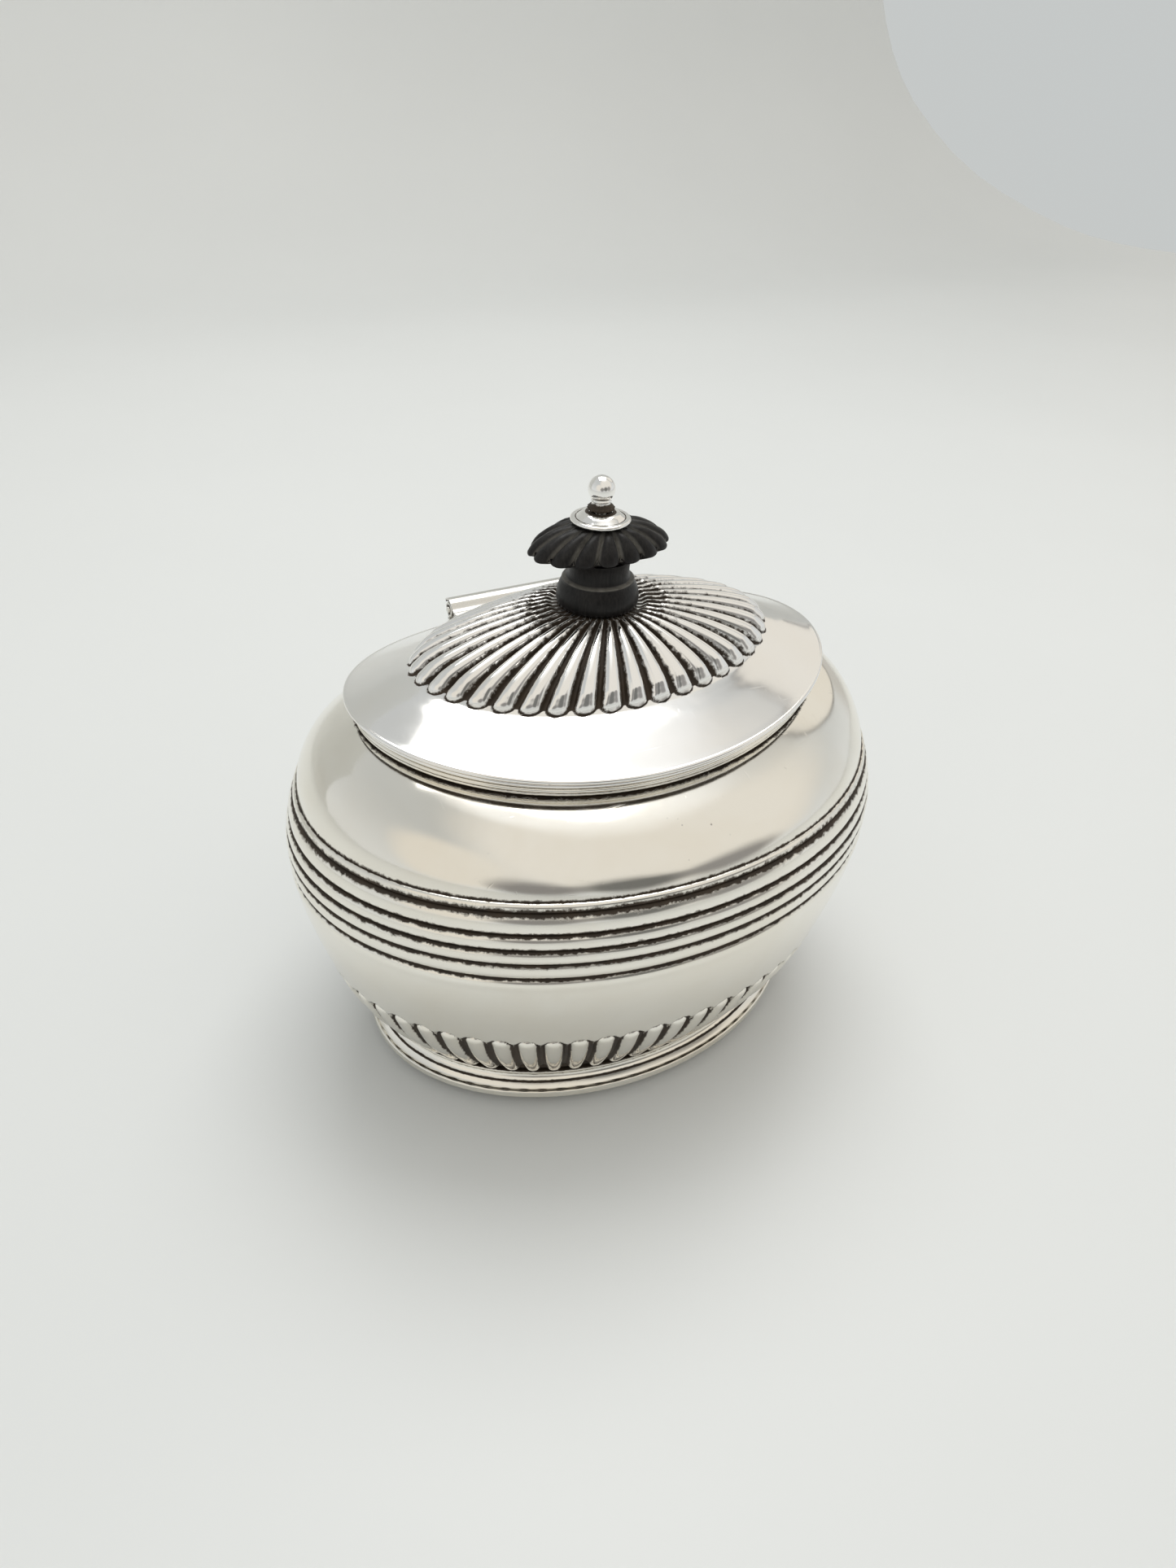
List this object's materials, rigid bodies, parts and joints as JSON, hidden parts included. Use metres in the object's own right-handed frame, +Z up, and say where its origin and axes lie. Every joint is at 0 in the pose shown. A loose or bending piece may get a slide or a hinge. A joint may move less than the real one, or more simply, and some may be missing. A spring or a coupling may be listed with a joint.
{
  "type": "hinged-lid sugar box",
  "caption": "Oval footed sugar box with a domed, lobed lid on a rear hinge, reeded belly, lobed lower body and a turned, fluted finial; holds sugar or tea on the table.",
  "frame": {"origin": "centre of the oval foot at the level of the table", "axes": "+X along the long axis of the oval, +Y towards the hinge, +Z up"},
  "size_m": [0.111, 0.0884, 0.1041],
  "materials": {
    "body_silver": "hand-polished silver with dark oxide left in the grooves",
    "foot_silver": "polished silver, slightly yellow and worn at the edge",
    "lid_silver": "polished silver with dark oxide between the lobes",
    "hinge_silver": "polished silver, darker at the joints",
    "finial_silver": "bright polished silver",
    "ebony": "oiled ebony, satin, with pale polish dust in the flutes"
  },
  "bodies": {
    "base": {"body_shell": "body_silver", "foot_ring": "foot_silver", "mouth_wire": "body_silver", "hinge_body_leaf": "hinge_silver", "hinge_pin": "hinge_silver"},
    "lid": {"lid_cover": "lid_silver", "lid_edge_wire": "lid_silver", "lid_bezel": "lid_silver", "hinge_lid_leaf": "hinge_silver", "finial_base": "ebony", "finial_cap": "ebony", "finial_washer": "finial_silver", "finial_ball": "finial_silver", "finial_rod": "finial_silver", "finial_inner_washer": "finial_silver", "finial_nut": "finial_silver"}
  },
  "joints": [
    {"name": "lid_hinge", "type": "hinge", "parent": "base", "child": "lid", "pos_m": [0, 0.0309, 0.0703], "axis": [-1, 0, 0], "range_deg": [0, 105]}
  ]
}
